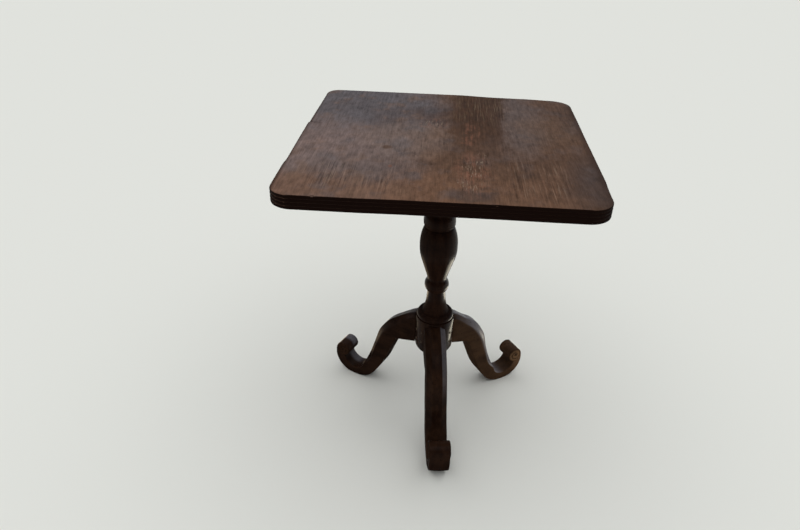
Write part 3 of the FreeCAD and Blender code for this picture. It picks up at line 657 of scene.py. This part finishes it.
def spun(name, points, steps):
    # one vertex is drawn along the half outline, and the line is spun about the z axis
    deselect()
    bpy.ops.mesh.primitive_plane_add(size=mm, location=(0, 0, 0))
    piece = bpy.context.object
    piece.name = name
    edit(piece)
    bpy.ops.mesh.merge(type="CENTER")
    bpy.ops.transform.translate(value=points[0])
    for start, end in zip(points, points[1:]):
        bpy.ops.mesh.extrude_vertices_move(TRANSFORM_OT_translate={"value": end - start})
    bpy.ops.mesh.select_all(action="SELECT")
    bpy.ops.mesh.spin(steps=steps, angle=math.tau, center=(0, 0, 0), axis=(0, 0, 1))
    bpy.ops.mesh.select_all(action="SELECT")
    bpy.ops.mesh.remove_doubles(threshold=0.005 * mm)
    bpy.ops.mesh.normals_make_consistent(inside=False)
    bpy.ops.object.mode_set(mode="OBJECT")
    return piece


def makeColumn():
    piece = spun("turned_column", turnedOutline(), column["steps"])
    modify(piece, "BEVEL", width=column["ease"], segments=2, limit_method="ANGLE",
           angle_limit=math.radians(column["easeAbove"]), use_clamp_overlap=True)
    cycles = column["waveCycles"]
    for vertex in piece.data.vertices:
        x, y, z = vertex.co
        dent = abs(noise.noise((x * cycles, y * cycles, z * cycles)))
        pull = 1 - column["wave"] / column["waveRadius"] * dent
        vertex.co.x = x * pull + leaning(z)
        vertex.co.y = y * pull
    dress(piece, "base", "dark_wood", woodColumn, "column", smooth=40)


makeColumn()
print("column made")


# pairs say where something starts to change and where it has changed: the distance from the axis, or by
# name the height (above, below), the distance aside (side) or the way a face points (facing)
legs = {"turns": {"leg_front": 277.4, "leg_right": 31.4, "leg_left": 153.9},
        "voxel": 1.4 * mm, "smoothing": 4,
        # the upper side sweeps up to the hub's bead, down to this height
        "rise": 9 * mm, "riseEnd": (42 * mm, 98 * mm), "riseAbove": (165 * mm, 212 * mm),
        # the roll, and the spiral groove on its ends
        "rollAt": (248.6 * mm, 66.8 * mm), "rollRadius": 18 * mm, "rollHalf": 24.25 * mm,
        "rollEnd": 1.2 * mm, "pitch": 10 * mm, "grooveFrom": 5 * mm, "grooveWide": 4.2 * mm,
        "grooveDeep": 2.2 * mm,
        # the knee stands out more on some legs
        "knee": {"leg_front": 3.5 * mm, "leg_right": 7.5 * mm, "leg_left": 3.5 * mm},
        "kneeStart": (72 * mm, 124 * mm), "kneeEnd": (138 * mm, 166 * mm),
        "kneeWay": (0.6, 0.8), "kneeFacing": (0.1, 0.7),
        # slow hollows, in cycles per metre, that each leg has of its own
        "wave": 0.5 * mm, "waveCycles": 30, "waveApart": 9, "waveStart": 60 * mm, "waveRamp": 20 * mm,
        # how much painted light and wear each leg gets, the right leg's mostly a painted light, and how
        # much of that its toe is spared
        "thinPolish": {"leg_front": 0.12, "leg_right": 0.85, "leg_left": 0.07},
        "toeKeptDark": 0.7, "toeStart": (200 * mm, 240 * mm), "toeFacing": (0.1, 0.7),
        # how far out each leg's root goes along with the hub
        "follow": {"leg_front": (20 * mm, 44 * mm), "leg_right": (45 * mm, 95 * mm),
                   "leg_left": (60 * mm, 150 * mm)}}
# the front leg was cut a little wider than the others; its toe curls higher and is rubbed off below
frontLeg = {"wider": 0.075, "aside": -2.5 * mm, "toeStart": (190 * mm, 235 * mm),
            "lift": 11 * mm, "liftAbove": (24 * mm, 56 * mm),
            "rubbed": 6 * mm, "rubbedStart": (222 * mm, 240 * mm), "rubbedSide": (8 * mm, 26 * mm),
            "rubbedBelow": (0, 45 * mm)}
# where a painted sheen lies: the right leg's back, one arris of the front leg, and the left leg's root
# and roll
sheenPlaces = {"back": 0.62, "backFuller": 0.30, "backStart": (70 * mm, 120 * mm), "backSoft": 0.4,
          "backWay": (0.55, 0.83),
          "right": 0.76, "rightEnd": (185 * mm, 225 * mm),
          "front": 0.36, "frontFacing": (0.25, 0.60), "frontAbove": (110 * mm, 215 * mm),
          "root": 0.25, "rootEnd": (50 * mm, 80 * mm),
          "roll": 0.5, "rollStart": (200 * mm, 225 * mm), "rollSide": (-4 * mm, 8 * mm),
          "rollFacing": (0.0, 0.6)}


def ease(value, low, high):
    part = min(1, max(0, (value - low) / (high - low)))
    return part * part * (3 - 2 * part)


def turnedTo(facing, way):
    # how far a face points out along the leg and up, as the way says
    return facing.x * way[0] + facing.z * way[1]


def carveRoll(leg):
    # a spiral groove on both ends of the roll: the end faces are made finer, then pressed in
    atX, atZ = legs["rollAt"]
    edge = legs["rollHalf"] - legs["rollEnd"]

    def onEnd(co):
        return abs(co.y) > edge and math.hypot(co.x - atX, co.z - atZ) < legs["rollRadius"]

    edit(leg)
    pick(leg, "polygons", lambda face: onEnd(face.center))
    bpy.ops.mesh.subdivide(number_cuts=1)
    bpy.ops.object.mode_set(mode="OBJECT")
    leg.data.attributes.new("legPlace", "FLOAT_VECTOR", "POINT")
    leg.data.attributes.new("rollWear", "FLOAT", "POINT")
    own = leg.data.attributes["legPlace"]
    wear = leg.data.attributes["rollWear"]
    for vertex in leg.data.vertices:
        own.data[vertex.index].vector = vertex.co
        if not onEnd(vertex.co):
            continue
        away = math.hypot(vertex.co.x - atX, vertex.co.z - atZ)
        angle = math.atan2(vertex.co.z - atZ, vertex.co.x - atX) / math.tau
        turn = (away - legs["grooveFrom"]) / legs["pitch"] - angle
        off = abs(turn - round(turn)) * legs["pitch"]
        press = 0
        if away > legs["grooveFrom"] * 0.8 and off < legs["grooveWide"] / 2:
            press = 0.5 + 0.5 * math.cos(math.tau * off / legs["grooveWide"])
            vertex.co.y -= math.copysign(legs["grooveDeep"] * press, vertex.co.y)
        wear.data[vertex.index].value = 1 - press


def shapeFrontLeg(leg):
    for vertex in leg.data.vertices:
        x, y, z = vertex.co
        toe = ease(x, *frontLeg["toeStart"])
        vertex.co.y = y * (1 + frontLeg["wider"] * (1 - toe)) + toe * frontLeg["aside"]
        vertex.co.z += toe * frontLeg["lift"] * ease(z, *frontLeg["liftAbove"])
        low = ease(x, *frontLeg["rubbedStart"]) * ease(-y, *frontLeg["rubbedSide"])
        vertex.co.z += low * (1 - ease(z, *frontLeg["rubbedBelow"])) * frontLeg["rubbed"]


def sheenAt(node, place, facing):
    # the painted sheen at one place on a leg
    x, y, z = place
    low = sheenPlaces["back"] - sheenPlaces["backFuller"] * ease(x, *sheenPlaces["backStart"])
    back = ease(turnedTo(facing, sheenPlaces["backWay"]), low, low + sheenPlaces["backSoft"])
    if node == "leg_right":
        return sheenPlaces["right"] * back * (1 - ease(x, *sheenPlaces["rightEnd"]))
    if node == "leg_front":
        return sheenPlaces["front"] * ease(facing.y, *sheenPlaces["frontFacing"]) * ease(z, *sheenPlaces["frontAbove"])
    root = sheenPlaces["root"] * back * (1 - ease(x, *sheenPlaces["rootEnd"]))
    roll = sheenPlaces["roll"] * ease(x, *sheenPlaces["rollStart"]) * ease(-y, *sheenPlaces["rollSide"])
    return max(root, roll * ease(facing.z, *sheenPlaces["rollFacing"]))


def wearLeg(leg, node, number):
    for kind in ("thinPolish", "bloom"):
        leg.data.attributes.new(kind, "FLOAT", "POINT")
    lightWear = leg.data.attributes["thinPolish"]
    bloom = leg.data.attributes["bloom"]
    facings = [vertex.normal.copy() for vertex in leg.data.vertices]
    cycles = legs["waveCycles"]
    for vertex in leg.data.vertices:
        facing = facings[vertex.index]
        x, y, z = vertex.co
        # each leg's painted light and wear, less at the toe
        kept = legs["toeKeptDark"] * ease(x, *legs["toeStart"]) * ease(facing.x, *legs["toeFacing"])
        lightWear.data[vertex.index].value = legs["thinPolish"][node] * (1 - kept)
        bloom.data[vertex.index].value = sheenAt(node, vertex.co, facing)
        full = ease(x, *legs["kneeStart"]) * (1 - ease(x, *legs["kneeEnd"]))
        full *= ease(turnedTo(facing, legs["kneeWay"]), *legs["kneeFacing"]) * legs["knee"][node]
        vertex.co += Vector((facing.x, 0, facing.z)) * full
        # cut by hand: slow hollows, none in the joint or at the sole
        free = min(1, max(0, (x - legs["waveStart"]) / legs["waveRamp"]), max(0, z / legs["waveRamp"]))
        cloud = noise.noise_vector((x * cycles, y * cycles, z * cycles + number * legs["waveApart"]))
        vertex.co += cloud * legs["wave"] * free


def makeLegs():
    # one leg is finished in its own frame, foot along +x, then copied round the column
    master = cadCopy("leg_front", "leg_master")
    master.data.transform(Matrix.Rotation(math.radians(-legs["turns"]["leg_front"]), 4, "Z"))
    modify(master, "REMESH", mode="VOXEL", voxel_size=legs["voxel"])
    modify(master, "SMOOTH", factor=0.5, iterations=legs["smoothing"])
    for vertex in master.data.vertices:
        near = 1 - ease(vertex.co.x, *legs["riseEnd"])
        vertex.co.z += legs["rise"] * near * ease(vertex.co.z, *legs["riseAbove"])
    carveRoll(master)
    for number, (node, turn) in enumerate(legs["turns"].items()):
        leg = duplicate(master, "scroll_" + node)
        if node == "leg_front":
            shapeFrontLeg(leg)
        wearLeg(leg, node, number)
        leg.data.transform(Matrix.Rotation(math.radians(turn), 4, "Z"))
        for vertex in leg.data.vertices:
            away = math.hypot(vertex.co.x, vertex.co.y)
            vertex.co.x += leaning(0) * (1 - ease(away, *legs["follow"][node]))
        dress(leg, "base", "dark_wood", woodLeg, node, smooth=60)
    bpy.data.objects.remove(master)


makeLegs()
print("legs made")


underneath = {"woodEase": 1.2 * mm, "metalEase": 0.35 * mm, "pegEase": 0.6 * mm, "easeAbove": 40,
              # the solid's node, the piece's name and the body it rides
              "wood": (("pillar_block", "column_block", "base"),
                       ("bearer_front", "front_bearer", "top"),
                       ("bearer_back", "back_bearer", "top")),
              "metal": (("strike_plate", "strike", "base"),
                        ("catch_plate", "catch_loops", "top"),
                        ("catch_bolt", "sliding_bolt", "bolt"))}


def eased(node, name, width):
    piece = cadCopy(node, name)
    modify(piece, "BEVEL", width=width, segments=2, limit_method="ANGLE",
           angle_limit=math.radians(underneath["easeAbove"]))
    return piece


for node, name, body in underneath["wood"]:
    dress(eased(node, name, underneath["woodEase"]), body, "bare_wood", woodBare, node, smooth=30)
for node, name, body in underneath["metal"]:
    dress(eased(node, name, underneath["metalEase"]), body, "brass", brass, node, smooth=30)

# in mm: where the heads are, and the driver slots' length, width and depth; turns are in radians
screws = {"bearerHeads": [(x, y, 645) for y in (-104.5, 104.5) for x in (-165, -60, 45, 150)],
          "catchHeads": [(x, y, 668) for y in (-15, 15) for x in (-152, -120)],
          "strikeHeads": [(-95, y, 659.5) for y in (-17, 17)],
          "bearerSlot": (11, 1.1, 1.3), "plateSlot": (7, 0.7, 0.7), "firstTurn": 0.6, "nextTurn": 1.1}


def slotted(node, name, body, slotName, material, spots, size, facing):
    # the solid's screws with a driver slot cut across each head, no two turned alike
    piece = cadCopy(node, name)
    long, wide, deep = (value * mm for value in size)
    for number, spot in enumerate(spots):
        deselect()
        bpy.ops.mesh.primitive_cube_add(size=1, location=[value * mm for value in spot])
        cutter = bpy.context.object
        cutter.scale = (long, wide, 2 * deep)
        turn = Matrix.Rotation(screws["firstTurn"] + number * screws["nextTurn"], 4, "Z")
        cutter.rotation_euler = (Matrix.Rotation(math.radians(facing), 4, "Y") @ turn).to_euler()
        cutWith(piece, cutter)
    dress(piece, body, slotName, material, node, smooth=30)


slotted("bearer_screws", "bearer_screw_heads", "top", "iron", iron,
        screws["bearerHeads"], screws["bearerSlot"], 0)
slotted("catch_screws", "catch_screw_heads", "top", "brass", brass,
        screws["catchHeads"], screws["plateSlot"], 0)
slotted("strike_screws", "strike_screw_heads", "base", "brass", brass,
        screws["strikeHeads"], screws["plateSlot"], 90)

# the outline is in mm: radius and height
knob = {"at": (-145 * mm, 0, 0), "steps": 40,
        "outline": [(0, 662.5), (2.5, 662.5), (2.5, 653.2), (3.4, 652.2), (5.6, 651.6), (6.5, 650),
                    (6.4, 648.2), (5.4, 646.6), (3.2, 645.7), (0, 645.5)]}


def makeKnob():
    points = [Vector((radius, 0, height)) * mm for radius, height in knob["outline"]]
    piece = spun("bolt_knob", points, knob["steps"])
    piece.location = knob["at"]
    dress(piece, "bolt", "brass", brass, "catch_knob", smooth=50)


makeKnob()
pegs = eased("leg_pegs", "peg_ends", underneath["pegEase"])
pegs.data.transform(Matrix.Translation((leaning(0), 0, 0)))
dress(pegs, "base", "peg_wood", woodPeg, "leg_pegs", smooth=30)
for node, material in (("tenon_wedge", woodPeg), ("board_dowels", woodPeg),
                       ("pivot_pin_front", iron), ("pivot_pin_back", iron)):
    nodes[node].data.materials.clear()
    nodes[node].data.materials.append(material)
print("block, bearers and catch made")


studio = {"floor": (0.813, 0.804, 0.743), "floorSize": 80, "floorRough": 0.9,
          "sky": (0.95, 0.975, 1.0), "dim": 0.145, "overhead": 1.38, "overheadFrom": (0.3, 0.95),
          # a low bluish window behind on the right: which way, how wide, from and to what height
          "window": (0.72, 0.82, 1.0), "windowGlow": 0.7, "windowAt": (0.6, 0.8),
          "windowWide": (0.5, 0.95), "windowHigh": (0.0, 0.30, 0.08),
          # cards that lie on the floor and light the turning from below: place, size, power, colour
          "cardHeight": 4 * mm,
          "cards": {"right_card": ((0.36, 0.21), (0.20, 0.34), 1.0, (1.0, 0.92, 0.72)),
                    "left_card": ((-0.31, 0.30), (0.24, 0.28), 0.55, (1.0, 0.72, 0.42))}}


def makeStudio():
    deselect()
    bpy.ops.mesh.primitive_plane_add(size=studio["floorSize"], location=(0, 0, 0))
    floor = bpy.context.object
    floor.name = "floor"
    floor.data.materials.append(newPaint("pale_floor").finish(
        Base_Color=studio["floor"], Roughness=studio["floorRough"], Specular_IOR_Level=0.0))
    # soft light from above, and the window
    world = bpy.data.worlds.new("studio")
    bpy.context.scene.world = world
    paint = Paint(world)
    x, y, z = paint.axes(paint.add("ShaderNodeTexCoord", output="Generated"))
    light = z.over(*studio["overheadFrom"]) * studio["overhead"] + studio["dim"]
    atX, atY = studio["windowAt"]
    window = (x * atX + y * atY).over(*studio["windowWide"]) * z.within(*studio["windowHigh"])
    back = paint.tree.nodes["Background"]
    paint.feed(back.inputs["Color"], blend(paint, window, studio["sky"], studio["window"]))
    paint.feed(back.inputs["Strength"], light + window * studio["windowGlow"])
    for name, (place, size, power, colour) in studio["cards"].items():
        bpy.ops.object.light_add(type="AREA", location=(*place, studio["cardHeight"]),
                                 rotation=(math.pi, 0, 0))
        card = bpy.context.object
        card.name = name
        card.data.shape = "RECTANGLE"
        card.data.size, card.data.size_y = size
        card.data.energy = power
        card.data.color = colour
        card.visible_camera = False
    bpy.context.scene.view_settings.view_transform = "Standard"


photoCamera = {"place": (-0.00995, -1.23774, 1.15156), "yaw": -3.332, "down": 31.468, "roll": 1.591,
               "focalPixels": 641.19, "imageWidth": 800, "sensorWidth": 36, "nearest": 0.01}


def makeCamera():
    yaw, down, roll = (math.radians(photoCamera[key]) for key in ("yaw", "down", "roll"))
    ahead = Vector((math.sin(yaw) * math.cos(down), math.cos(yaw) * math.cos(down), -math.sin(down)))
    right = Vector((math.cos(yaw), -math.sin(yaw), 0))
    up = right.cross(ahead)
    tiltedRight = right * math.cos(roll) + up * math.sin(roll)
    tiltedUp = up * math.cos(roll) - right * math.sin(roll)
    deselect()
    bpy.ops.object.camera_add()
    camera = bpy.context.object
    turn = Matrix((tiltedRight, tiltedUp, -ahead)).transposed()
    camera.matrix_world = Matrix.Translation(photoCamera["place"]) @ turn.to_4x4()
    sensor = photoCamera["sensorWidth"]
    camera.data.sensor_width = sensor
    camera.data.lens = photoCamera["focalPixels"] / photoCamera["imageWidth"] * sensor
    camera.data.clip_start = photoCamera["nearest"]
    bpy.context.scene.camera = camera


makeStudio()
makeCamera()
print("studio ready")
